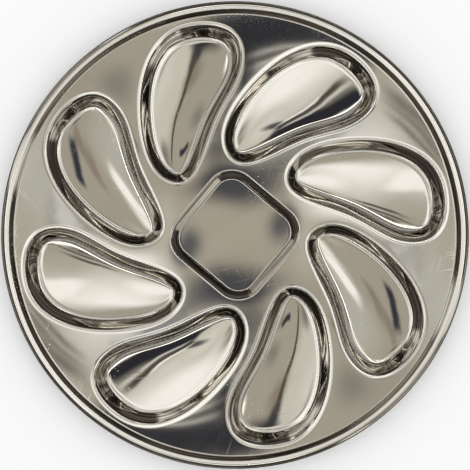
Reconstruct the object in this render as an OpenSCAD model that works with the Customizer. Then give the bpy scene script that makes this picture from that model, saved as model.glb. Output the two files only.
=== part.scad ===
// Oyster plate pressed from one round of polished stainless sheet.
// Eight pear-shaped wells lie like a pinwheel round a square well for sauce or lemon,
// and the edge is turned up and rolled over into a hollow curl.
// Z = 0 is the table, the origin is the middle of the plate, and all lengths are in mm.
// The regions of the pressing are modelled as nodes that meet face to face.

/* [Plate] */
// Outside diameter over the rolled rim
plate_d = 300; // [299:1:330]
// Thickness of the sheet
sheet = 0.7; // [0.5:0.05:1]

/* [Rolled rim] */
// Height of the rim's top above the deck
rim_rise = 3.6; // [3:0.1:6]
// Outside diameter of the rolled edge
curl_d = 6; // [5:0.1:6.6]
// Angle that the edge is rolled through, counted from the top of the curl
curl_turn = 235; // [150:5:240]
// Width of the rim seen from above, from its foot on the deck to its outer edge
rim_w = 8.6; // [8.2:0.1:9.2]
// Inside radius of the bend at the rim's foot
rim_foot_r = 1.2; // [0.6:0.1:1.6]

/* [Oyster wells] */
// Depth of a well from the deck down to the lowest line of its floor
well_depth = 10; // [8:0.1:13]
// Length of a well over its lip
well_l = 105; // [96:0.5:105.5]
// Width of a well over its lip
well_w = 59; // [52:0.5:59.5]
// Angle between a well's long axis and the line straight out from the middle
well_slant = 40; // [37:0.5:42]
// Direction in which the first well lies, counted from +X
well_start = 21.2; // [0:0.1:44]
// Distance from a well's lip to the foot of the rim
well_margin = 3.2; // [2.8:0.1:3.4]
// Width of a well's wall seen from above
wall_run = 7.2; // [6:0.1:8]
// How far the floor is set from the middle of the well towards its narrow tip
floor_shift = 1.2; // [0:0.1:2]
// Plan radius of the bend that the lowest line of the floor follows
spine_r = 104; // [80:1:200]
// Length along the deck that the rounding of the lip takes up
lip_round = 2.2; // [1.6:0.1:2.3]
// Length along the floor that the rounding at the foot of the wall takes up
floor_round = 2.4; // [1.6:0.1:2.8]

/* [Sauce well] */
// Depth of the square well from the deck down to its flat floor
sauce_depth = 5.5; // [4.5:0.1:8]
// Width of the square well over its lip
sauce_w = 70.6; // [60:0.1:72]
// Corner radius of the square well at its lip
sauce_corner_r = 18; // [15:0.5:22]
// Angle from +X to the middle of the square's first side
sauce_turn = 50; // [45:0.5:55]
// Width of the square well's wall seen from above, from lip to floor
sauce_wall_run = 6.7; // [6:0.1:9]
// Outside radius of the bend at the lip
sauce_lip_r = 1.6; // [1.2:0.1:2.2]
// Inside radius of the bend at the floor
sauce_floor_r = 1; // [0.8:0.1:1.8]

/* [Hidden] */

// Wells round the plate, and how far apart they lie
well_count = 8;
well_pitch = 360 / well_count;

// Control points of the lip's curve, as shares of the well's length and width.
// They go anticlockwise from the narrow tip, along the side that faces the next well.
outline_shares = [[-0.51, -0.465], [-0.025, -0.365], [0.265, -0.57], [0.565, -0.345],
                  [0.435, 0.38], [0.135, 0.55], [-0.195, 0.41], [-0.52, 0.055]];
// Middle of the spine's bend, as shares of the well's length and width
spine_shares = [0.03, 0.035];
// Rise of the trough at its sides, as a share of its half width
trough_share = 0.12;
// Half width of the trough across the middle of the well, as a share of its widest
taper_share = 0.8;
// Where along the well the middle of its foot lies, as a share of its length
pole_share = 0.08;
// Size of the rings on the floor, as shares of the floor's outline
floor_ring_shares = [0.72, 0.42];
// Size of the flat foot that the well stands on, as a share of the floor's outline
foot_share = 0.14;
// Steps of each rounding, as shares of the way round it
bend_shares = [0, 0.5, 1];

// Points on the lip's curve: six for each of its control points
lip_points = 6 * len(outline_shares);

// Heights of the upper face of the deck and of the square well's floor
deck_z = well_depth + sheet;
sauce_floor_z = deck_z - sauce_depth;
curl_r = curl_d / 2;
rim_foot_x = plate_d / 2 - rim_w;
sauce_half = sauce_w / 2;
// Distance from the middle to the centre of the square's corners
sauce_corner_x = sauce_half - sauce_corner_r;

steel = [0.74, 0.72, 0.67];
ring_fn = 240;
corner_fn = 72;
arc_step = 7;

// Slope of the straight wall that leaves one bend and runs into the other.
// The bends' centres lie dx and dz apart, and their radii add up to r_sum.
function wall_slope(dx, dz, r_sum) = atan2(dz, dx) + asin(r_sum / norm([dx, dz]));

// Points along an arc, about arc_step degrees apart
function arc_points(centre, r, from, to) =
    let (steps = ceil(abs(to - from) / arc_step))
    [for (i = [0 : steps])
        let (a = from + (to - from) * i / steps) centre + r * [cos(a), sin(a)]];

// Section of the sheet where it leaves the flat at a foot, climbs in a straight wall
// and turns over at a head. The foot's flat starts at flat_x, and the head's bend goes
// on to the angle head_end. The upper face comes first, then the lower one back again.
function step_section(flat_x, foot, foot_r, head, head_r, head_end) =
    let (slope = wall_slope(head.x - foot.x, head.y - foot.y, foot_r + head_r),
         flat_z = foot.y - foot_r)
    concat(flat_x < foot.x ? [[flat_x, flat_z]] : [],
           arc_points(foot, foot_r, -90, slope - 90),
           arc_points(head, head_r, slope + 90, head_end),
           arc_points(head, head_r - sheet, head_end, slope + 90),
           arc_points(foot, foot_r + sheet, slope - 90, -90),
           flat_x < foot.x ? [[flat_x, flat_z - sheet]] : []);

// Point on a closed, even, cubic B-spline
function spline_point(pts, u) =
    let (n = len(pts), i = floor(u), t = u - i)
    (pow(1 - t, 3) * pts[i % n]
     + (3 * pow(t, 3) - 6 * pow(t, 2) + 4) * pts[(i + 1) % n]
     + (1 + 3 * t + 3 * pow(t, 2) - 3 * pow(t, 3)) * pts[(i + 2) % n]
     + pow(t, 3) * pts[(i + 3) % n]) / 6;

// Direction of the same curve
function spline_tangent(pts, u) =
    let (n = len(pts), i = floor(u), t = u - i)
    (-pow(1 - t, 2) * pts[i % n]
     + (3 * pow(t, 2) - 4 * t) * pts[(i + 1) % n]
     + (1 + 2 * t - 3 * pow(t, 2)) * pts[(i + 2) % n]
     + pow(t, 2) * pts[(i + 3) % n]) / 2;

function unit(v) = v / norm(v);
function outward(v) = unit([v.y, -v.x]);

// The lip in the well's own frame: X runs along the well, from the tip to the wide end
lip_controls = [for (s = outline_shares) [s.x * well_l, s.y * well_w]];
lip_steps = [for (i = [0 : lip_points - 1]) i * len(outline_shares) / lip_points];
lip_curve = [for (u = lip_steps) spline_point(lip_controls, u)];
lip_outward = [for (u = lip_steps) outward(spline_tangent(lip_controls, u))];
border_curve = [for (i = [0 : lip_points - 1]) lip_curve[i] + lip_round * lip_outward[i]];

// Turns a point through an angle about the origin
function turned(p, a) = [p.x * cos(a) - p.y * sin(a), p.x * sin(a) + p.y * cos(a)];

// Distance of the wells' own origin from the middle of the plate.
// It is the greatest at which the whole lip stays well_margin inside the rim's foot.
well_reach = rim_foot_x - well_margin;
well_seat_r = min([for (p = lip_curve)
    let (q = turned(p, -well_slant)) sqrt(pow(well_reach, 2) - pow(q.y, 2)) - q.x]);

// Height of the trough-shaped floor: a cone whose lowest line bends with the well
floor_half_w = well_w / 2 - wall_run;
function spine_y(x) =
    spine_shares.y * well_w - pow(x - spine_shares.x * well_l, 2) / (2 * spine_r);
function trough_half_w(x) = floor_half_w * (taper_share + x / well_l);
function trough_z(p) =
    sheet + trough_share * pow(p.y - spine_y(p.x), 2) / trough_half_w(p.x);
function on_trough(p) = [p.x, p.y, trough_z(p)];
function on_foot(p) = [p.x, p.y, sheet];

floor_pole = [pole_share * well_l, spine_y(pole_share * well_l)];

// Rounded corner between two straight runs, at a share of the way round it
function rounded(from, corner, to, share) =
    pow(1 - share, 2) * from + 2 * share * (1 - share) * corner + pow(share, 2) * to;

// Upper face of a well on one line from the border down the wall to the floor
function wall_line(i) =
    let (lip = lip_curve[i],
         out = lip_outward[i],
         foot = lip - wall_run * out - [floor_shift, 0],
         inner = foot - floor_round * out,
         top = [lip.x, lip.y, deck_z],
         bottom = on_trough(foot),
         down = unit(bottom - top),
         border = top + lip_round * [out.x, out.y, 0])
    concat([for (s = bend_shares) rounded(border, top, top + lip_round * down, s)],
           [for (s = bend_shares)
               rounded(bottom - floor_round * down, bottom, on_trough(inner), s)],
           [for (s = floor_ring_shares) on_trough(floor_pole + s * (inner - floor_pole))],
           [on_foot(floor_pole + foot_share * (inner - floor_pole))]);

wall_lines = [for (i = [0 : lip_points - 1]) wall_line(i)];
ring_count = len(wall_lines[0]);

// Normal of the upper face at one point of the grid, away from its first and last ring
function face_normal(i, k) =
    let (along = wall_lines[(i + 1) % lip_points][k]
                 - wall_lines[(i + lip_points - 1) % lip_points][k],
         across = wall_lines[i][k + 1] - wall_lines[i][k - 1])
    unit(cross(along, across));

// Lower face: the upper one moved down by the thickness, square to the sheet
function under_point(i, k) =
    let (level = k == 0 || k == ring_count - 1)
    wall_lines[i][k] - sheet * (level ? [0, 0, 1] : face_normal(i, k));

// Closed shell of one well: upper rings and middle, then lower rings and middle
module well_shell() {
    upper = [for (k = [0 : ring_count - 1]) for (i = [0 : lip_points - 1]) wall_lines[i][k]];
    lower = [for (k = [0 : ring_count - 1]) for (i = [0 : lip_points - 1]) under_point(i, k)];
    half = len(upper) + 1;
    last = (ring_count - 1) * lip_points;
    polyhedron(
        points = concat(upper, [on_foot(floor_pole)],
                        lower, [on_foot(floor_pole) - [0, 0, sheet]]),
        faces = concat(
            [for (k = [0 : ring_count - 2]) for (i = [0 : lip_points - 1])
                let (a = k * lip_points + i,
                     b = k * lip_points + (i + 1) % lip_points,
                     c = a + lip_points,
                     d = b + lip_points)
                each [[a, d, b], [a, c, d], [half + a, half + b, half + d],
                      [half + a, half + d, half + c]]],
            [for (i = [0 : lip_points - 1])
                let (a = last + i, b = last + (i + 1) % lip_points)
                each [[a, half - 1, b], [half + a, half + b, 2 * half - 1]]],
            [for (i = [0 : lip_points - 1])
                let (b = (i + 1) % lip_points)
                each [[i, b, half + b], [i, half + b, half + i]]]),
        convexity = 6);
}

// Puts its children where the well of that number lies
module at_well(number) {
    rotate(well_start + (number - 1) * well_pitch)
        translate([well_seat_r, 0])
            rotate(-well_slant)
                children();
}

module oyster_well(number) {
    color(steel)
        at_well(number)
            well_shell();
}

// Square with rounded corners that reaches half_w from the middle
module rounded_square(half_w, corner_r) {
    inner = half_w - corner_r;
    square([2 * half_w, 2 * inner], center = true);
    square([2 * inner, 2 * half_w], center = true);
    for (a = [0 : 90 : 270])
        rotate(a)
            translate([inner, inner])
                circle(r = corner_r, $fn = corner_fn);
}

// Flat sheet between the wells
module deck() {
    color(steel)
        translate([0, 0, deck_z - sheet])
            linear_extrude(sheet)
                difference() {
                    circle(r = rim_foot_x, $fn = ring_fn);
                    rotate(sauce_turn)
                        rounded_square(sauce_half, sauce_corner_r);
                    for (number = [1 : well_count])
                        at_well(number)
                            polygon(border_curve);
                }
}

// Upstand and rolled edge, open towards the underside of the plate
module rolled_rim() {
    color(steel)
        rotate_extrude($fn = ring_fn)
            polygon(step_section(rim_foot_x, [rim_foot_x, deck_z + rim_foot_r], rim_foot_r,
                                 [plate_d / 2 - curl_r, deck_z + rim_rise - curl_r], curl_r,
                                 90 - curl_turn));
}

// Section of the square well's wall, measured from the centre of a corner
module sauce_section() {
    floor_end = sauce_corner_r - sauce_wall_run;
    polygon(step_section(0, [floor_end, sauce_floor_z + sauce_floor_r], sauce_floor_r,
                         [sauce_corner_r, deck_z - sauce_lip_r], sauce_lip_r, 90));
}

// Shallow square well in the middle, clear of the table
module sauce_well() {
    side = 2 * sauce_corner_x;
    color(steel)
        rotate(sauce_turn) {
            for (a = [0 : 90 : 270])
                rotate(a) {
                    translate([sauce_corner_x, sauce_corner_x])
                        rotate_extrude(angle = 90, $fn = ring_fn)
                            sauce_section();
                    translate([sauce_corner_x, sauce_corner_x])
                        rotate([90, 0, 0])
                            linear_extrude(side)
                                sauce_section();
                }
            translate([-sauce_corner_x, -sauce_corner_x, sauce_floor_z - sheet])
                cube([side, side, sheet]);
        }
}

deck();
rolled_rim();
sauce_well();
oyster_well(1);  // oyster_well_1
oyster_well(2);  // oyster_well_2
oyster_well(3);  // oyster_well_3
oyster_well(4);  // oyster_well_4
oyster_well(5);  // oyster_well_5
oyster_well(6);  // oyster_well_6
oyster_well(7);  // oyster_well_7
oyster_well(8);  // oyster_well_8
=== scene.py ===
import bpy
import numpy as np
from mathutils.geometry import delaunay_2d_cdt
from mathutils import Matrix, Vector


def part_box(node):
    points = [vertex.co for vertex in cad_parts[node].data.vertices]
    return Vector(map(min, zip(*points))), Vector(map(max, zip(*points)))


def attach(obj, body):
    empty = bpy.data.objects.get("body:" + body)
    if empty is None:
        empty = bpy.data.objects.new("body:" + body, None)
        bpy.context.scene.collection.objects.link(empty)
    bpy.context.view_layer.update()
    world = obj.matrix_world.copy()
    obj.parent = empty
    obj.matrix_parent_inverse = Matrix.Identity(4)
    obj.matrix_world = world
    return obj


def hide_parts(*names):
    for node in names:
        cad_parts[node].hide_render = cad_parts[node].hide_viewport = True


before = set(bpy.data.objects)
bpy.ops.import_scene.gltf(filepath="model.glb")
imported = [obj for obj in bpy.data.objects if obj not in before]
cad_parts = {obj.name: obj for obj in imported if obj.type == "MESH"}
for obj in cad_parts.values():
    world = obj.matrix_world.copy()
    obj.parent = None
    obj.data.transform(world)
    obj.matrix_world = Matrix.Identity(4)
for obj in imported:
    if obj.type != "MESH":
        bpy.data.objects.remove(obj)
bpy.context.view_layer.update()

# Deck
# The flat of the plate: what is left of a round blank of polished stainless sheet between
# the rim and the nine wells. The press that draws a well pulls the sheet next to its lip
# down by about a tenth of a millimetre, which the polish shows as dark echoes of the lips.

mm = 0.001
deck_low, deck_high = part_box("deck")
deck_top = deck_high.z
sheet = deck_high.z - deck_low.z

plate_radius = 150 * mm
rim_width = 8.6 * mm
rim_foot_radius = plate_radius - rim_width
rim_steps = 720

# Angles are in degrees: the bearing of the first well, the step to the next, and how far a
# well leans from pointing straight outwards
wells = range(1, 9)
first_well = 21.2
well_pitch = 360 / len(wells)
well_slant = 40
well_length = 105 * mm
well_width = 59 * mm
lip_to_rim = 3.2 * mm
lip_round = 2.2 * mm
lip_steps = 384
# Control points of a lip, as shares of its length and width, from the narrow tip
lip_shares = [[-0.51, -0.465], [-0.025, -0.365], [0.265, -0.57], [0.565, -0.345],
              [0.435, 0.38], [0.135, 0.55], [-0.195, 0.41], [-0.52, 0.055]]

square_width = 70.6 * mm
square_corner_radius = 18 * mm
square_turn = 50
square_arc_steps = 40
square_side_steps = 28

draw_depth = 0.12 * mm
draw_reach = 3.6 * mm

# The deck's own points: rows at these distances from each border, then an even field
collar_offsets = [0.7 * mm, 1.6 * mm, 2.8 * mm]
deck_spacing = 2.2 * mm


def unit(vectors):
    """Vectors divided by their lengths."""
    return vectors / np.linalg.norm(vectors, axis=-1, keepdims=True)


def turned(points, degrees):
    """Points or directions turned about the Z axis."""
    angle = np.radians(degrees)
    x = points[..., 0] * np.cos(angle) - points[..., 1] * np.sin(angle)
    y = points[..., 0] * np.sin(angle) + points[..., 1] * np.cos(angle)
    return np.concatenate([np.stack([x, y], -1), points[..., 2:]], -1)


def closed_curve(shares, size, count):
    """Points and outward directions of a closed, even, cubic B-spline.

    With t running from 0 to 1 between two control points, the four controls round it weigh
    (1-t)^3, 3t^3-6t^2+4, 1+3t+3t^2-3t^3 and t^3, all over 6.
    """
    controls = np.array(shares) * size
    span, t = np.divmod(np.arange(count) * len(controls) / count, 1)
    a, b, c, d = (np.roll(controls, -k, 0)[span.astype(int)] for k in range(4))
    t = t[:, None]
    points = ((1 - t)**3 * a + (3 * t**3 - 6 * t**2 + 4) * b
              + (1 + 3 * t + 3 * t**2 - 3 * t**3) * c + t**3 * d) / 6
    along = -(1 - t)**2 * a + (3 * t**2 - 4 * t) * b + (1 + 2 * t - 3 * t**2) * c + t**2 * d
    return points, unit(np.stack([along[:, 1], -along[:, 0]], -1))


def round_square(half_width, corner_radius, arc_steps, side_steps):
    """Corner centres and outward directions round a square with round corners.

    The outline at any distance from the corner centres is centre + distance * direction:
    the direction turns at each corner, and the centre slides along each side.
    """
    corner = half_width - corner_radius
    turn = np.concatenate([np.linspace(0, 90, arc_steps, endpoint=False),
                           np.full(side_steps, 90)])
    slide = np.concatenate([np.zeros(arc_steps),
                            np.linspace(0, 1, side_steps, endpoint=False)])
    centres = np.stack([corner - 2 * corner * slide, np.full(len(slide), corner)], -1)
    outward = np.stack([np.cos(np.radians(turn)), np.sin(np.radians(turn))], -1)
    quarter_turns = 90 * np.arange(4)
    return (np.concatenate([turned(centres, a) for a in quarter_turns]),
            np.concatenate([turned(outward, a) for a in quarter_turns]))


lip, lip_outward = closed_curve(lip_shares, [well_length, well_width], lip_steps)
# The wells lie as far out as they can with the whole lip a margin inside the rim's foot
slanted = turned(lip, -well_slant)
lip_circle = rim_foot_radius - lip_to_rim
well_distance = np.min(np.sqrt(lip_circle**2 - slanted[:, 1]**2) - slanted[:, 0])


def on_plate(points, number):
    """Points of a well's own frame, in which X runs from its tip, put at its place."""
    shifted = turned(points, -well_slant)
    shifted[..., 0] += well_distance
    return turned(shifted, first_well + well_pitch * (number - 1))


def direction_on_plate(directions, number):
    """Directions of a well's own frame, turned as the well is."""
    return turned(directions, first_well - well_slant + well_pitch * (number - 1))


well_lips = [on_plate(lip, number) for number in wells]
well_borders = [on_plate(lip + lip_round * lip_outward, number) for number in wells]
well_outward = [direction_on_plate(lip_outward, number) for number in wells]

square_centres, square_outward = round_square(square_width / 2, square_corner_radius,
                                              square_arc_steps, square_side_steps)
square_centres = turned(square_centres, square_turn)
square_outward = turned(square_outward, square_turn)
square_border = square_centres + square_corner_radius * square_outward
square_lip = square_border - lip_round * square_outward

rim_angle = np.arange(rim_steps) * 2 * np.pi / rim_steps
rim_outward = np.stack([np.cos(rim_angle), np.sin(rim_angle)], -1)
rim_foot = rim_foot_radius * rim_outward

points_at_once = 4000


def nearest_on(curve, points):
    """Distances of points to a closed run of short lines, and directions away from it.

    Each point is dropped onto the two lines that meet at the curve's nearest corner.
    """
    distance, away = [], []
    for part in np.array_split(points, len(points) // points_at_once + 1):
        near = np.argmin((curve * curve).sum(1) - 2 * part @ curve.T, 1)
        here = curve[near]
        feet = []
        for step in (1, -1):
            line = curve[(near + step) % len(curve)] - here
            share = ((part - here) * line).sum(-1) / (line * line).sum(-1)
            feet.append(part - here - np.clip(share, 0, 1)[:, None] * line)
        closer = np.linalg.norm(feet[0], axis=1) < np.linalg.norm(feet[1], axis=1)
        offset = np.where(closer[:, None], feet[0], feet[1])
        distance.append(np.linalg.norm(offset, axis=1))
        away.append(unit(offset))
    return np.concatenate(distance), np.concatenate(away)


def draw_in(points):
    """Drop of the deck at points outside the lips, and its slope there.

    At a distance from a lip the drop is depth * exp(-distance / reach). The drops that the
    nine lips give are added up, and the slope is the sum of their derivatives.
    """
    drop = np.zeros(len(points))
    slope = np.zeros((len(points), 2))
    for curve in [*well_lips, square_lip]:
        distance, away = nearest_on(curve, points)
        share = draw_depth * np.exp(-distance / draw_reach)
        drop += share
        slope += (share / draw_reach)[:, None] * away
    return drop, slope


def sloping_normals(slope):
    """Normals of a face whose height rises by slope along X and Y."""
    return unit(np.concatenate([-slope, np.ones(slope.shape[:-1] + (1,))], -1))


def soft_step(values, low, high):
    """Smooth step from 0 at low to 1 at high: 3 t^2 - 2 t^3 of the share t of the way."""
    t = np.clip((values - low) / (high - low), 0, 1)
    return t * t * (3 - 2 * t)


def fade_out(values, full, gone):
    """Smooth step down from 1 at full to 0 at gone."""
    return 1 - soft_step(values, full, gone)


def smooth_mesh(name, points, corners, sizes):
    """Mesh with smooth faces: its points, all faces' corners in one row, and their numbers
    of corners."""
    mesh = bpy.data.meshes.new(name)
    mesh.vertices.add(len(points))
    mesh.vertices.foreach_set("co", points.ravel())
    mesh.loops.add(len(corners))
    mesh.loops.foreach_set("vertex_index", corners)
    mesh.polygons.add(len(sizes))
    mesh.polygons.foreach_set("loop_start", np.cumsum(sizes) - sizes)
    mesh.polygons.foreach_set("use_smooth", np.ones(len(sizes), bool))
    mesh.update(calc_edges=True)
    return mesh


def put_in_scene(mesh, material):
    """Blender object of a mesh, under the mesh's name and at the origin."""
    mesh.materials.append(material)
    made = bpy.data.objects.new(mesh.name, mesh)
    bpy.context.scene.collection.objects.link(made)
    return made


class Skin:
    """Closed skin of one piece, put together from grids, with a normal at each corner."""

    def __init__(self):
        self.points, self.corners, self.normals, self.sizes = [], [], [], []
        self.shares = {"wear_and_highlight": [], "flat": [], "grey": [], "steep": [], "across": []}
        self.count = 0

    def number(self, points, **shares):
        """Adds an array of points and gives their numbers, in the same arrangement.

        The finish reads the shares: the wear share is 1 where a bend is rubbed most and painted
        near white as a highlight, flat is 1 on the flats, grey is 1 where a dark reflection is
        painted on the deck, steep is 1 on the walls, which are painted darker as shade, and
        across is the distance from the border in mm.
        """
        numbers = self.count + np.arange(points[..., 0].size).reshape(points.shape[:-1])
        self.points.append(points.reshape(-1, 3))
        for name, kept in self.shares.items():
            kept.append(np.broadcast_to(shares.get(name, 0), numbers.shape).ravel())
        self.count += numbers.size
        return numbers

    def faces(self, numbers, normals, under=False):
        """Faces as rows of point numbers, anticlockwise from outside, or clockwise if under."""
        step = -1 if under else 1
        self.corners.append(numbers[:, ::step].ravel())
        self.normals.append(normals[:, ::step].reshape(-1, 3))
        self.sizes.append(np.full(len(numbers), numbers.shape[1]))

    def grid(self, numbers, normals, under=False):
        """Quads between the rows of a grid, whose rows each close on themselves."""
        def corners(values):
            ahead = np.roll(values, -1, 1)
            return np.stack([values[:-1], ahead[:-1], ahead[1:], values[1:]], 2)
        quads = corners(numbers).reshape(-1, 4)
        self.faces(quads, corners(normals).reshape(-1, 4, 3), under)

    def cap(self, row, normals, pole, pole_normal, under=False):
        """Triangles from a closed row of points to one point in its middle."""
        ahead, ends = np.roll(row, -1), np.full(len(row), pole)
        pole_normals = np.broadcast_to(pole_normal, normals.shape)
        self.faces(np.stack([row, ahead, ends], 1),
                   np.stack([normals, np.roll(normals, -1, 0), pole_normals], 1), under)

    def edge(self, upper, lower, outward, under=False):
        """Band of quads that closes the sheet between its upper and its lower border."""
        both = np.stack([lower, upper])
        self.grid(both, np.broadcast_to(outward, both.shape + (3,)), under)

    def piece(self, name, material):
        """Blender object of the skin, with its normals and what its finish reads."""
        mesh = smooth_mesh(name, np.concatenate(self.points), np.concatenate(self.corners),
                           np.concatenate(self.sizes))
        mesh.normals_split_custom_set(np.concatenate(self.normals))
        for share_name, kept in self.shares.items():
            share = mesh.attributes.new(share_name, "FLOAT", "POINT")
            share.data.foreach_set("value", np.concatenate(kept))
        return put_in_scene(mesh, material)


def level(outward):
    """Directions in the plane as directions in space."""
    return np.concatenate([outward, np.zeros(outward.shape[:-1] + (1,))], -1)


class Value:
    """A socket of a shader, on which Python's arithmetic adds Math nodes."""

    def __init__(self, finish, socket):
        self.finish, self.socket = finish, socket

    def math(self, operation, *values):
        """Math node of that operation on values, in their order."""
        return self.finish.node("ShaderNodeMath", {"operation": operation},
                                dict(enumerate(values)))

    def between(self, low, high):
        """Smooth step from 0 at low to 1 at high: 3 t^2 - 2 t^3 of the share t of the way."""
        return self.finish.node("ShaderNodeMapRange", {"interpolation_type": "SMOOTHSTEP"},
                                {"Value": self, "From Min": low, "From Max": high})

    def __add__(self, other):
        return self.math("ADD", self, other)

    def __sub__(self, other):
        return self.math("SUBTRACT", self, other)

    def __rsub__(self, other):
        return self.math("SUBTRACT", other, self)

    def __mul__(self, other):
        return self.math("MULTIPLY", self, other)

    __radd__ = __add__
    __rmul__ = __mul__


class Finish:
    """Material of one surface, built node by node."""

    def __init__(self, name):
        self.material = bpy.data.materials.new(name)
        self.material.use_nodes = True
        self.tree = self.material.node_tree
        self.tree.nodes.clear()

    def node(self, kind, settings=None, sockets=None, output=0):
        """Adds a node, sets it, fills its sockets with numbers or links, gives one output."""
        made = self.tree.nodes.new(kind)
        for name, setting in (settings or {}).items():
            setattr(made, name, setting)
        for name, value in (sockets or {}).items():
            if isinstance(value, Value):
                self.tree.links.new(value.socket, made.inputs[name])
            else:
                made.inputs[name].default_value = value
        return Value(self, made.outputs[output])

    def blend(self, share, first, second):
        """Colour that goes from the first to the second as share goes from 0 to 1."""
        first, second = ((*c, 1) if isinstance(c, tuple) else c for c in (first, second))
        return self.node("ShaderNodeMix", {"data_type": "RGBA"},
                         {0: share, 6: first, 7: second}, output=2)

    def noise(self, place, scale, detail=2.0, length=1, turn=0):
        """Noise about 0.5, scale patches to a metre, drawn out to length on a turned axis."""
        stretched = self.node("ShaderNodeMapping", {"vector_type": "TEXTURE"}, {
            "Vector": place, "Rotation": (0, 0, np.radians(turn)), "Scale": (length, 1, 1)})
        return self.node("ShaderNodeTexNoise", {}, {
            "Vector": stretched, "Scale": scale, "Detail": detail})

    def surface(self, shader):
        """Makes a shader the material's surface, and gives the material."""
        output = self.tree.nodes.new("ShaderNodeOutputMaterial")
        self.tree.links.new(shader.socket, output.inputs["Surface"])
        return self.material


def polished_steel():
    """Polished stainless sheet, with what pressing, washing and serving leave on it, and with
    painted shade on the walls, a painted reflection on the deck and painted highlights on
    the bends.
    """
    steel = Finish("bright_steel")
    place = steel.node("ShaderNodeTexCoord", output="Object")
    wear_and_highlight, flat, grey, steep, across = (
        steel.node("ShaderNodeAttribute", {"attribute_name": name}, output="Fac")
        for name in ("wear_and_highlight", "flat", "grey", "steep", "across"))

    # Washing smears a film over the polish, in patches and streaks
    film = steel.noise(place, 28, detail=4).between(0.42, 0.72)
    smear = steel.noise(place, 90, detail=3, length=4, turn=35).between(0.52, 0.75)
    haze = film * 0.6 + smear * 0.4

    # Hairlines from cloths run three ways, each in its own patches
    hairlines = 0
    for turn, patch_scale in ((12, 21), (71, 26), (128, 17)):
        line = steel.noise(place, 1500, detail=1, length=45, turn=turn).between(0.66, 0.72)
        patch = steel.noise(place, patch_scale, detail=1).between(0.52, 0.64)
        hairlines = line * patch + hairlines

    # Dried drops leave specks, most of them in groups
    drop = steel.node("ShaderNodeTexVoronoi", {}, {"Vector": place, "Scale": 420})
    speck = (1 - drop.between(0.1, 0.2)) * steel.noise(place, 34).between(0.57, 0.66)

    # The steep walls are painted darker as shade, with painted streaks of reflection running
    # round them
    x, y = (steel.node("ShaderNodeSeparateXYZ", {}, {0: place}, output=axis) for axis in "XY")
    along = steel.node("ShaderNodeCombineXYZ", {}, {0: across * 1.1, 1: x * 14, 2: y * 14})
    painted_streaks = steel.node("ShaderNodeTexNoise", {}, {
        "Vector": along, "Scale": 1.0, "Detail": 2.0}).between(0.42, 0.56)
    painted_wall_shade = steep * (0.12 + painted_streaks * 0.78)
    # A dark reflection is painted on the deck where grey is 1, as a grey film in patches
    painted_reflection_share = grey * (0.7 + steel.noise(place, 60).between(0.35, 0.6) * 0.3)

    clean, hazed = (0.74, 0.72, 0.67), (0.7, 0.675, 0.62)
    # Painted colours: a dark grey for the reflection on the deck and a dark brown for the shade
    # on the walls
    painted_reflection_grey, painted_shade_brown = (0.22, 0.215, 0.21), (0.17, 0.155, 0.13)
    # The scuff colour is near white: wear on the bends painted as a highlight
    scratch, scuff_highlight, dried_drop = (0.8, 0.79, 0.76), (0.96, 0.945, 0.9), (0.88, 0.88, 0.87)
    colour = steel.blend(haze, clean, hazed)
    # Painted dark reflection on the deck
    colour = steel.blend(painted_reflection_share, colour, painted_reflection_grey)
    # Painted shade on the walls, with painted streaks
    colour = steel.blend(painted_wall_shade, colour, painted_shade_brown)
    colour = steel.blend(hairlines * 0.4, colour, scratch)
    # Worn bends are painted near white as a highlight
    colour = steel.blend(wear_and_highlight * 0.9, colour, scuff_highlight)
    colour = steel.blend(speck * 0.8, colour, dried_drop)
    # The fine scuffs on rubbed bends scatter some of the light, and less metal lets their
    # near-white colour show as a painted highlight
    metal = 1 - wear_and_highlight * wear_and_highlight * wear_and_highlight * 0.4
    # Flats are rubbed duller than the hollows and the rim, by shells, cups and stacking
    roughness = (0.025 + flat * 0.065 + haze * 0.04 + hairlines * 0.08 + wear_and_highlight * 0.02
                 + speck * 0.35)

    # The sheet is never quite flat after the press, and hairlines and specks stand in it
    swollen = steel.node("ShaderNodeBump", {}, {
        "Height": steel.noise(place, 32), "Strength": 1.0, "Distance": 0.06 * mm})
    relief = steel.node("ShaderNodeBump", {}, {
        "Height": speck - hairlines, "Strength": 0.4, "Distance": 0.01 * mm, "Normal": swollen})
    return steel.surface(steel.node("ShaderNodeBsdfPrincipled", {}, {
        "Base Color": colour, "Metallic": metal, "Roughness": roughness, "Normal": relief}))


steel = polished_steel()

borders = [*well_borders, square_border, rim_foot]
outward_from_hole = [*well_outward, square_outward, -rim_outward]
hole_of = np.repeat(np.arange(len(borders)), [len(border) for border in borders])
border_points = np.concatenate(borders)
border_away = np.concatenate(outward_from_hole)

collars = np.concatenate([border_points + offset * border_away for offset in collar_offsets])
collar_of = np.tile(hole_of, len(collar_offsets))
collar_out = np.repeat(collar_offsets, len(hole_of))
column = np.arange(-rim_foot_radius, rim_foot_radius, deck_spacing)
field = np.stack(np.meshgrid(column, column), -1).reshape(-1, 2)
field[:, 0] += deck_spacing / 2 * (np.round(field[:, 1] / deck_spacing) % 2)


def inside(border, points):
    """Which points lie inside a closed border: those from which a line along X crosses it an
    odd number of times."""
    ahead = np.roll(border, -1, 0)
    crossed = np.zeros(len(points), bool)
    x, y = points.T
    for a, b in zip(border, ahead):
        spans = (a[1] > y) != (b[1] > y)
        if a[1] != b[1]:
            crossed ^= spans & (x < a[0] + (y - a[1]) * (b[0] - a[0]) / (b[1] - a[1]))
    return crossed


def on_deck(points):
    """Which points lie inside the rim's foot and outside the nine wells."""
    found = inside(rim_foot, points)
    for border in borders[:-1]:
        found &= ~inside(border, points)
    return found


def clearance(points):
    """Distance of each point to each border."""
    return np.stack([nearest_on(border, points)[0] for border in borders], 1)


collars, collar_of, collar_out = (part[on_deck(collars)] for part in
                                  (collars, collar_of, collar_out))
field = field[on_deck(field)]
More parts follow.
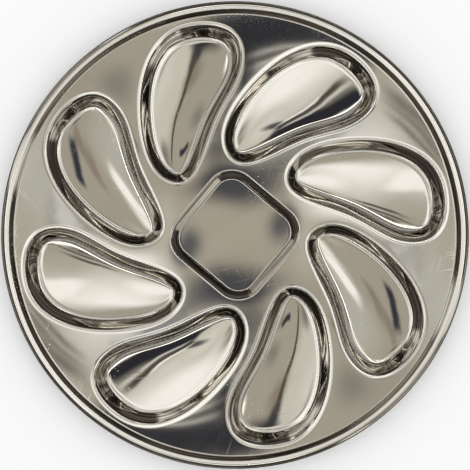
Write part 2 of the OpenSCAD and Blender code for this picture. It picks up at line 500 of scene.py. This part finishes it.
# A row's point stays where its own border is the nearest one, and about as far as it should
collar_clearance = clearance(collars)
own = collar_clearance[np.arange(len(collars)), collar_of]
others = np.where(np.arange(len(borders)) == collar_of[:, None], np.inf, collar_clearance)
about = 0.95
keep = (own > about * collar_out) & (others.min(1) > own)
far = clearance(field).min(1) > collar_offsets[-1] + deck_spacing / 2

deck_plan = np.concatenate([border_points, collars[keep], field[far]])
starts = np.cumsum([0] + [len(border) for border in borders])
loops = [np.arange(a, b) for a, b in zip(starts[:-1], starts[1:])]
fixed_edges = np.concatenate([np.stack([loop, np.roll(loop, -1)], 1) for loop in loops])
inside_edges, same_point = 1, 1e-9
cells = np.array(delaunay_2d_cdt([tuple(point) for point in deck_plan.tolist()],
                                 fixed_edges.tolist(), [], inside_edges, same_point)[2])
cells = cells[on_deck(deck_plan[cells].mean(1))]

deck_drop, deck_slope = draw_in(deck_plan)
deck_normals = sloping_normals(deck_slope)
upper = np.column_stack([deck_plan, deck_top - deck_drop])
lower = upper - [0, 0, sheet]


def off_bearing(middle):
    """Degrees between each deck point's bearing and a middle one, or its opposite."""
    bearing = np.degrees(np.arctan2(deck_plan[:, 1], deck_plan[:, 0]))
    return np.abs((bearing - middle + 90) % 180 - 90)


# A dark reflection is painted on the deck between wells 2 and 3 and, less so, between wells 4
# and 5, as well as half a turn round. It lies in grey patches with soft ends in mm and degrees.
radius = np.hypot(*deck_plan.T) / mm
broad_middle, small_middle, small_radius, small_share = 76, 175, 105, 0.75
broad_patch = (fade_out(off_bearing(broad_middle), 28, 42)
               * soft_step(radius, 36, 72) * fade_out(radius, 104, 124))
small_patch = (small_share * fade_out(off_bearing(small_middle), 6, 24)
               * fade_out(np.abs(radius - small_radius), 5, 22))
painted_deck_reflection = broad_patch + small_patch

deck_skin = Skin()
upper_numbers, lower_numbers = (
    deck_skin.number(face, flat=1, grey=painted_deck_reflection) for face in (upper, lower))
deck_skin.faces(upper_numbers[cells], deck_normals[cells])
deck_skin.faces(lower_numbers[cells], -deck_normals[cells], under=True)
for loop, away in zip(loops, outward_from_hole):
    is_rim = loop[0] == starts[-2]
    deck_skin.edge(upper_numbers[loop], lower_numbers[loop], -level(away), under=not is_rim)
deck = deck_skin.piece("deck_sheet", steel)
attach(deck, "root")
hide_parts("deck")

# Oyster wells
# Eight pear-shaped hollows, each for one opened oyster, drawn into the sheet in a pinwheel.
# A soft lip turns down into a sloping wall, and the floor is a shallow trough that bends
# with the pear, so that juice runs to the middle and the shell doesn't rock.

# The wall's width in plan, the floor's shift towards the tip, and the bend at the wall's foot
wall_run = 7.2 * mm
floor_shift = 1.2 * mm
floor_round = 2.4 * mm
# The lowest line bends with this radius, and its top lies at these shares of the well's
# length and width
spine_radius = 104 * mm
spine_shares = [0.03, 0.035]
# The floor's rise over its half width, the share of that width left at the well's middle,
# and the share of the length at which the rows end in a point
trough_share = 0.12
taper_share = 0.8
pole_share = 0.08
lip_rows, wall_rows, foot_rows, floor_rows = 14, 8, 14, 36

floor_half_width = well_width / 2 - wall_run


def spine(x):
    """Lowest line of the floor: a parabola with the bend of a circle at its top."""
    from_top = x - spine_shares[0] * well_length
    return spine_shares[1] * well_width - from_top**2 / (2 * spine_radius)


def on_trough(points):
    """Points of the floor: the height rises with the square of the distance to the spine,
    over the trough's half width, which grows towards the wide end."""
    half_width = floor_half_width * (taper_share + points[..., 0] / well_length)
    rise = trough_share * (points[..., 1] - spine(points[..., 0]))**2 / half_width
    return np.concatenate([points, (sheet + rise)[..., None]], -1)


def rounding(start, corner, end, rows):
    """Bend between two straight runs: the parabola from start to end that the corner pulls."""
    t = np.linspace(0, 1, rows)[:, None, None]
    return (1 - t)**2 * start + 2 * t * (1 - t) * corner + t**2 * end


def face_normals(grid, first_row):
    """Normals of a grid whose rows run inwards and close on themselves.

    They are the cross products of the steps along and across the rows. The steps across are
    weighed so that uneven rows do no harm, and the first row's normals are given.
    """
    along = np.roll(grid, -1, 1) - np.roll(grid, 1, 1)
    step = np.diff(grid, axis=0)
    length = np.linalg.norm(step, axis=-1, keepdims=True)
    across = np.empty_like(grid)
    across[1:-1] = step[1:] / length[1:] * length[:-1] + step[:-1] / length[:-1] * length[1:]
    across[0], across[-1] = step[0], step[-1]
    normals = unit(np.cross(along, across))
    normals[0] = first_row
    return normals


def bend_wear_and_highlight(rows):
    """Wear and painted highlight across a bend, none at its two ends: the square of a half wave
    of the sine.
    """
    return np.sin(np.linspace(0, np.pi, rows))**2


def section_shares(grid, normals, wear_and_highlight, flat=0):
    """What the finish reads at each point of a grid whose rows run on from a border.

    A face counts as steep where its normal's rise is less than 0.68, fading out to 0.9.
    """
    steps = np.linalg.norm(np.diff(grid, axis=0), axis=-1).mean(1)
    return {"wear_and_highlight": wear_and_highlight[:, None], "flat": np.reshape(flat, (-1, 1)),
            "steep": fade_out(np.abs(normals[..., 2]), 0.68, 0.9),
            "across": np.concatenate([[0], np.cumsum(steps)])[:, None] / mm}


def pressed_hollow(grid, normals, wear_and_highlight, flat, middle, outward, name):
    """Piece of a hollow drawn into the sheet, from the rows of its upper face.

    The lower face lies the sheet's thickness under the upper one, square to it, but at the
    border straight below, where it meets the deck.
    """
    skin = Skin()
    below = normals.copy()
    below[0] = [0, 0, 1]
    middle_normal = unit(normals[-1].mean(0))
    shares = section_shares(grid, normals, wear_and_highlight, flat)
    numbers, under = (skin.number(face, **shares) for face in (grid, grid - sheet * below))
    pole, under_pole = (skin.number(point[None], flat=flat[-1], across=shares["across"][-1, 0])
                        for point in (middle, middle - sheet * middle_normal))
    skin.grid(numbers, normals)
    skin.cap(numbers[-1], normals[-1], pole[0], middle_normal)
    skin.grid(under, -normals, under=True)
    skin.cap(under[-1], -normals[-1], under_pole[0], -middle_normal, under=True)
    skin.edge(numbers[0], under[0], level(outward))
    piece = skin.piece(name, steel)
    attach(piece, "root")
    return piece


def well_rows(drop, rise):
    """Rows of a well's upper face in its own frame, from the border to the middle.

    The border lies by drop under the deck's height and the deck rises outwards there by rise.
    Lip and foot are roundings, and the wall between them is straight.
    """
    height = deck_top - drop
    border = np.column_stack([lip + lip_round * lip_outward, height])
    corner = np.column_stack([lip, height - lip_round * rise])
    foot_plan = lip - wall_run * lip_outward - [floor_shift, 0]
    floor_plan = foot_plan - floor_round * lip_outward
    foot = on_trough(foot_plan)
    down = unit(foot - corner)
    wall_top, wall_end = corner + lip_round * down, foot - floor_round * down
    wall = wall_top + np.linspace(0, 1, wall_rows)[1:-1, None, None] * (wall_end - wall_top)
    middle_x = pole_share * well_length
    middle = np.array([middle_x, spine(middle_x)])
    share = np.linspace(1, 0, floor_rows)[1:-1, None, None]
    return np.concatenate([
        rounding(border, corner, wall_top, lip_rows), wall,
        rounding(wall_end, foot, on_trough(floor_plan), foot_rows),
        on_trough(middle + share * (floor_plan - middle))]), on_trough(middle)


# The lip's and foot's bends get wear and a painted highlight
well_wear_and_highlight = np.concatenate([bend_wear_and_highlight(lip_rows), np.zeros(wall_rows - 2),
                            bend_wear_and_highlight(foot_rows), np.zeros(floor_rows - 2)])

for number in wells:
    border_drop, border_slope = draw_in(well_borders[number - 1])
    outward = well_outward[number - 1]
    rows, middle = well_rows(border_drop, (border_slope * outward).sum(-1))
    rows = on_plate(rows, number)
    normals = face_normals(rows, sloping_normals(border_slope))
    well = pressed_hollow(rows, normals, well_wear_and_highlight, np.zeros(len(rows)),
                          on_plate(middle, number), outward, f"oyster_hollow_{number}")
    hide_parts(f"oyster_well_{number}")

# Square well
# A shallow well with a flat floor in the middle of the plate, for a sauce cup or lemon. Its
# lip and foot are tighter than those of the oyster wells, and it hangs clear of the table.

square_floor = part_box("sauce_well")[0].z + sheet
square_wall_run = 6.7 * mm
square_lip_radius = 1.6 * mm
square_foot_radius = 1 * mm
square_floor_rows = 30
square_bend_step = 3
# Way down the lip over which the deck's drop at the border fades out
settle = 0.8 * mm


def arc(centre, radius, start, end, bend_degrees):
    """Points along an arc, with at most so many degrees from one to the next."""
    steps = int(np.ceil(abs(end - start) / bend_degrees)) + 1
    angle = np.radians(np.linspace(start, end, steps))
    return np.array(centre) + radius * np.stack([np.cos(angle), np.sin(angle)], -1)


def step_profile(foot, foot_radius, head, head_radius, head_end, bend_degrees):
    """Section where the sheet leaves the flat at a foot, climbs straight and turns at a head.

    The wall is the line that touches both bends on opposite sides. Its slope is the angle
    from one centre to the other plus the arc sine of the radii's sum over their distance.
    It comes with the wear share at each point, which paints the bends near white as a
    highlight.
    """
    span = np.subtract(head, foot)
    slope = np.degrees(np.arctan2(span[1], span[0])
                       + np.arcsin((foot_radius + head_radius) / np.linalg.norm(span)))
    foot_points = arc(foot, foot_radius, -90, slope - 90, bend_degrees)
    head_points = arc(head, head_radius, slope + 90, head_end, bend_degrees)
    wall = np.linspace(foot_points[-1], head_points[0], wall_rows)[1:-1]
    return (np.concatenate([foot_points, wall, head_points]),
            np.concatenate([bend_wear_and_highlight(len(foot_points)), np.zeros(len(wall)),
                            bend_wear_and_highlight(len(head_points))]))


# The square's lip and foot get wear and a painted highlight
square_profile, square_wear_and_highlight = step_profile(
    [square_corner_radius - square_wall_run, square_floor + square_foot_radius],
    square_foot_radius,
    [square_corner_radius, deck_top - square_lip_radius], square_lip_radius, 90,
    square_bend_step)
reach_out, height = square_profile[::-1, 0, None], square_profile[::-1, 1, None]
square_plan = square_centres + reach_out[..., None] * square_outward
border_drop, border_slope = draw_in(square_border)
border_rise = (border_slope * square_outward).sum(-1)
inward = square_corner_radius - reach_out
sag = (border_drop + border_rise * inward) * np.exp(-inward / settle)
square_rows = np.concatenate([square_plan, (height - sag)[..., None]], -1)
share = np.linspace(1, 0, square_floor_rows)[1:-1, None, None]
floor_plan = square_rows[-1, :, :2] * share
floor_height = np.full(floor_plan.shape[:2] + (1,), square_floor)
square_rows = np.concatenate([square_rows, np.concatenate([floor_plan, floor_height], -1)])
square_flat = np.zeros(len(square_rows))
square_flat[len(square_wear_and_highlight):] = 1
square_wear_and_highlight = np.concatenate([square_wear_and_highlight[::-1], np.zeros(len(square_rows) - len(square_wear_and_highlight))])
square_normals = face_normals(square_rows, sloping_normals(border_slope))
square = pressed_hollow(square_rows, square_normals, square_wear_and_highlight, square_flat,
                        np.array([0, 0, square_floor]), square_outward, "square_hollow")
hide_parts("sauce_well")

# Rolled rim
# The edge of the blank, turned up in a short sloping wall and rolled over into a hollow curl.
# The curl stiffens the plate, hides the cut edge and gives fingers a hold from below.

rim_foot_bend = 1.2 * mm
curl_radius = 3 * mm
curl_turn = 235
curl_centre = [plate_radius - curl_radius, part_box("rolled_rim")[1].z - curl_radius]
rim_bend_step = 5.5
rim_settle = 3.5 * mm
# Where round the roll the wear and painted highlight are most, in degrees up from outside, and
# how much
rub_highlight_middle, rub_highlight_full, rub_highlight_gone, rub_highlight_share = 118, 12, 36, 1.1

rim_profile, rim_wear_and_highlight = step_profile(
    [rim_foot_radius, deck_top + rim_foot_bend], rim_foot_bend,
    curl_centre, curl_radius, 90 - curl_turn, rim_bend_step)
# A band of wear, painted near white as a highlight, runs round the inner side of the roll's
# crest
reach = rim_profile - curl_centre
on_roll = np.isclose(np.hypot(*reach.T), curl_radius)
off_middle = np.abs(np.degrees(np.arctan2(reach[:, 1], reach[:, 0])) - rub_highlight_middle)
rim_wear_and_highlight = np.where(on_roll, rub_highlight_share * fade_out(off_middle, rub_highlight_full, rub_highlight_gone), rim_wear_and_highlight)
# The drop of the deck fades out over the first rows above the rim's foot
rim_face = rim_profile[:, None, 0, None] * rim_outward
fade = fade_out(rim_profile[:, 0] - rim_foot_radius, 0, rim_settle)
low_rows = np.argmin(fade)
fade = fade[:low_rows, None]
drop, slope = draw_in(rim_face[:low_rows].reshape(-1, 2))
rim_height = np.repeat(rim_profile[:, 1, None], rim_steps, 1)
rim_height[:low_rows] -= drop.reshape(low_rows, -1) * fade
rim_rows = np.concatenate([rim_face, rim_height[..., None]], -1)
border_normals = sloping_normals(slope[:rim_steps])
rim_normals = -face_normals(rim_rows, -border_normals)
below = rim_normals.copy()
below[0] = [0, 0, 1]
rim_skin = Skin()
rim_shares = section_shares(rim_rows, rim_normals, rim_wear_and_highlight)
numbers = rim_skin.number(rim_rows, **rim_shares)
under = rim_skin.number(rim_rows - sheet * below, **rim_shares)
rim_skin.grid(numbers, rim_normals, under=True)
rim_skin.grid(under, -rim_normals)
rim_skin.edge(numbers[0], under[0], -level(rim_outward), under=True)
cut_normals = unit(np.cross(rim_normals[-1], np.roll(rim_rows[-1], -1, 0) - rim_rows[-1]))
rim_skin.edge(numbers[-1], under[-1], cut_normals)
rim = rim_skin.piece("rolled_edge", steel)
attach(rim, "root")
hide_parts("rolled_rim")

# Table
# A plain white table top under the plate, lit evenly by a white room.

table_half = 3.0
table_lines = 13
table_white = (0.97, 0.97, 0.97, 1)


def stage_grid(name, points, material):
    """Open sheet of the stage from a grid of points, in quads between its rows."""
    rows, columns = points.shape[:2]
    numbers = np.arange(rows * columns).reshape(rows, columns)
    quads = np.stack([numbers[:-1, :-1], numbers[:-1, 1:],
                      numbers[1:, 1:], numbers[1:, :-1]], -1)
    mesh = smooth_mesh(name, points.reshape(-1, 3), quads.ravel(),
                       np.full((rows - 1) * (columns - 1), 4))
    made = put_in_scene(mesh, material)
    return made


white_top = Finish("white_table")
table_material = white_top.surface(white_top.node("ShaderNodeBsdfDiffuse", {}, {
    "Color": table_white}))
line = np.linspace(-table_half, table_half, table_lines)
table_x, table_y = np.meshgrid(line, line)
stage_grid("table_top", np.stack([table_x, table_y, np.zeros_like(table_x)], -1),
           table_material)

world = bpy.data.worlds.new("white_room")
world.use_nodes = True
world.node_tree.nodes["Background"].inputs["Color"].default_value = (1, 1, 1, 1)
world.node_tree.nodes["Background"].inputs["Strength"].default_value = 1
bpy.context.scene.world = world

# Light tent
# What the polished steel mirrors: a low dome of cloth over the plate, pale above and dark
# further down, with white panels and dark cards hung in it. Everything hangs there twice,
# half a turn apart. Only mirrored rays meet it, and the room lights all the rest.

tent_radius = 450 * mm
tent_height = 160 * mm
# Rows lie closer together near the top, down to so many degrees from the pole
fine_rows, coarse_rows, tent_steps = 210, 120, 1320
first_polar, fine_polar = 0.01, 25

taupe = (0.47, 0.44, 0.375)
grey = (0.56, 0.545, 0.475)
cream = (0.83, 0.815, 0.755)
white = (1.2, 1.185, 1.15)
brown = (0.33, 0.28, 0.23)
dark_brown = (0.1, 0.088, 0.075)
slate = (0.1, 0.105, 0.12)
blue_black = (0.045, 0.05, 0.065)
black = (0.03, 0.031, 0.04)

# Rings of cloth: where one starts, where it is full, its colour. Places and lengths in the
# tent are shares of its radius, with X to the right and Y away from the camera's foot.
rings = [
    (0.383, 0.396, (3, 2.93, 2.75)),
    (0.412, 0.44, (0.2, 0.175, 0.14)),
    (0.5, 0.58, (0.03, 0.027, 0.024)),
    (0.82, 0.88, (0.12, 0.105, 0.09)),
    (0.95, 0.97, (0.03, 0.027, 0.024))]

# Panels and cards: middle, half length, half width, turn, softness of the edge, colour
panels = [
    (0.28, -0.03, 0.08, 0.24, 15, 0.5, grey),
    (0.22, 0.14, 0.11, 0.12, 30, 0.4, grey),
    (0.2, 0.14, 0.09, 0.07, 20, 0.5, cream),
    (0.205, 0.03, 0.07, 0.11, 15, 0.8, white),
    (0.08, 0.215, 0.14, 0.07, 0, 0.35, cream),
    (0.15, 0.18, 0.06, 0.05, 0, 0.6, white),
    (-0.18, 0.09, 0.1, 0.12, 0, 0.25, taupe),
    (-0.18, 0.26, 0.12, 0.14, 0, 0.25, taupe),
    (-0.01, 0.23, 0.09, 0.08, 20, 0.3, (0.74, 0.72, 0.64)),
    (0.02, 0.235, 0.05, 0.03, 0, 0.6, cream),
    (0.055, 0.35, 0.105, 0.045, 0, 0.3, black),
    (0.022, 0.285, 0.015, 0.05, -8, 0.5, (0.12, 0.12, 0.125)),
    (0.005, 0.318, 0.055, 0.024, 0, 0.4, black),
    (-0.055, 0.3, 0.03, 0.012, 30, 0.6, blue_black),
    (-0.085, 0.285, 0.018, 0.03, -20, 0.8, brown),
    (-0.235, 0.12, 0.012, 0.04, 20, 0.7, brown),
    (-0.24, 0.17, 0.008, 0.035, 15, 0.7, brown),
    (-0.335, 0.11, 0.03, 0.07, 0, 0.4, (0.58, 0.57, 0.53)),
    (-0.281, -0.003, 0.09, 0.02, 99.5, 0.35, white),
    (0.05, 0.108, 0.045, 0.02, 8, 0.8, (0.24, 0.235, 0.225)),
    (-0.01, 0.146, 0.05, 0.02, 0, 0.7, (0.26, 0.25, 0.23)),
    (0, 0, 0.105, 0.105, 45, 0.2, (0.5, 0.46, 0.385)),
    (0.125, -0.02, 0.03, 0.05, 0, 0.6, (0.6, 0.57, 0.5)),
    (0, 0.088, 0.072, 0.034, 0, 0.55, (0.075, 0.079, 0.092)),
    (0.085, 0.02, 0.02, 0.03, -20, 0.7, slate),
    (-0.2, 0.255, 0.028, 0.03, 0, 0.9, (0.3, 0.28, 0.25)),
    (-0.4, 0.66, 0.15, 0.06, 122, 0.4, white),
    (-0.5, 0.44, 0.26, 0.15, 138, 0.35, (0.3, 0.27, 0.235)),
    (-0.624, 0.215, 0.24, 0.08, 161, 0.3, cream)]

# Bent strips: middle, radius, half width, first and last angle, softness of the ends, colour
strips = [
    (0.07, 0.105, 0.196, 0.007, 50, 108, 8, dark_brown),
    (0.07, 0.105, 0.186, 0.003, 70, 105, 10, white),
    (0.07, 0.105, 0.21, 0.004, 52, 105, 8, cream),
    (0.07, 0.105, 0.247, 0.028, 50, 116, 6, black),
    (0.01, 0.2, 0.118, 0.006, 118, 216, 8, dark_brown),
    (-0.165, 0.215, 0.07, 0.008, 206, 266, 8, blue_black),
    (0.12, 0, 0.25, 0.004, 25, 55, 8, dark_brown),
    (0.12, 0, 0.265, 0.003, 20, 58, 8, dark_brown),
    (0.12, 0, 0.28, 0.008, 25, 60, 8, (0.16, 0.145, 0.12)),
    (0, 0, 0.72, 0.01, 20, 110, 10, (0.26, 0.235, 0.2)),
    (0, 0, 0.62, 0.006, -20, 110, 10, (0.24, 0.22, 0.19)),
    (0, 0, 0.66, 0.012, 60, 150, 10, (0.02, 0.018, 0.016)),
    (0, 0, 0.8, 0.012, 100, 175, 10, (0.05, 0.045, 0.04)),
    (0, 0, 0.82, 0.02, -12, 25, 8, (0.6, 0.57, 0.51)),
    (0, 0, 0.905, 0.03, 118, 178, 6, (0.95, 0.93, 0.86)),
    (0, 0, 0.968, 0.016, 128, 155, 4, (0.75, 0.72, 0.65))]

polar = np.radians(np.concatenate([
    np.linspace(first_polar, fine_polar, fine_rows, endpoint=False),
    np.linspace(fine_polar, 90, coarse_rows)]))[:, None]
azimuth = np.radians(np.linspace(0, 360, tent_steps + 1))[None]
tent_x, tent_y = np.sin(polar) * np.cos(azimuth), np.sin(polar) * np.sin(azimuth)

# The cloth hangs in waves of unlike lengths, which bend the outlines a little
wave = 0.002
ripple_x = wave * (np.sin(31 * tent_y + 9 * tent_x) + np.sin(57 * tent_y))
ripple_y = wave * (np.sin(27 * tent_x - 13 * tent_y) + np.sin(49 * tent_x))
waved = [(side * (tent_x + ripple_x), side * (tent_y + ripple_y)) for side in (1, -1)]


def seen_from(x, y, turn):
    """Places in the tent as a panel at x, y sees them, along and across its turned axis, and
    the same for its twin half a turn round."""
    angle = np.radians(turn)
    for place_x, place_y in waved:
        off_x, off_y = place_x - x, place_y - y
        yield (off_x * np.cos(angle) + off_y * np.sin(angle),
               off_y * np.cos(angle) - off_x * np.sin(angle))


def oval(x, y, half_length, half_width, turn, softness):
    """Share of a soft oval at each place: a step down where the distance from its middle, in
    its own half length and width, passes 1."""
    ends = [np.hypot(along / half_length, across / half_width)
            for along, across in seen_from(x, y, turn)]
    return fade_out(np.minimum(*ends), 1 - softness, 1 + softness)


def bow(x, y, radius, half_width, start, end, softness):
    """Share of a soft bent strip at each place: the part of a ring between two angles, which
    fades out from 0.4 to 1.6 of its half width off its middle line."""
    shares = []
    for along, across in seen_from(x, y, (start + end) / 2):
        off_line = np.abs(np.hypot(along, across) - radius)
        off_middle = np.degrees(np.abs(np.arctan2(across, along)))
        half = (end - start) / 2
        shares.append(fade_out(off_line, 0.4 * half_width, 1.6 * half_width)
                      * fade_out(off_middle, half - softness, half + softness))
    return np.maximum(*shares)


cloth_colour = np.broadcast_to(taupe, tent_x.shape + (3,)).copy()
layers = [(soft_step(np.hypot(tent_x, tent_y), start, full), colour)
          for start, full, colour in rings]
layers += [(oval(*shape), colour) for *shape, colour in panels]
layers += [(bow(*shape), colour) for *shape, colour in strips]
for share, colour in layers:
    cloth_colour += share[..., None] * (colour - cloth_colour)

cloth = Finish("tent_cloth")
hung = cloth.node("ShaderNodeAttribute", {"attribute_name": "cloth"}, output="Color")
tent_material = cloth.surface(cloth.node("ShaderNodeEmission", {}, {
    "Color": hung, "Strength": 1.0}))
tent = stage_grid("light_tent", np.stack([
    tent_radius * tent_x, tent_radius * tent_y,
    tent_height * np.cos(polar) * np.ones_like(azimuth)], -1), tent_material)
cloth_points = tent.data.color_attributes.new("cloth", "FLOAT_COLOR", "POINT")
cloth_points.data.foreach_set("color", np.concatenate(
    [cloth_colour, np.ones(tent_x.shape + (1,))], -1).ravel())

# A dark card lies on the table round the plate, so that the rolled edge mirrors a dark line
card_inner, card_outer, card_lift = 152 * mm, 240 * mm, 0.2 * mm
card_colour = (0.05, 0.047, 0.042, 1)
card_finish = Finish("dark_card")
card_material = card_finish.surface(card_finish.node("ShaderNodeEmission", {}, {
    "Color": card_colour, "Strength": 1.0}))
ring_radius = np.array([card_outer, card_inner])[:, None]
card = stage_grid("edge_card", np.stack([
    ring_radius * np.cos(azimuth), ring_radius * np.sin(azimuth),
    card_lift * np.ones_like(ring_radius * azimuth)], -1), card_material)
for mirrored_only in (tent, card):
    mirrored_only.visible_camera = False
    mirrored_only.visible_diffuse = False
    mirrored_only.visible_shadow = False

# Camera
# Straight above the plate, as the photograph was taken.

# Height over the roll's middle, where the picture is so wide, and what the camera can see
camera_height = 700 * mm
frame_width = 301.65 * mm
nearest_seen, farthest_seen = 0.01, 20
camera_data = bpy.data.cameras.new("camera")
camera_data.lens = camera_data.sensor_width * camera_height / frame_width
camera_data.clip_start, camera_data.clip_end = nearest_seen, farthest_seen
camera = bpy.data.objects.new("camera", camera_data)
camera.location = (0, 0, curl_centre[1] + camera_height)
bpy.context.scene.collection.objects.link(camera)
bpy.context.scene.camera = camera
bpy.context.scene.view_settings.view_transform = "Standard"
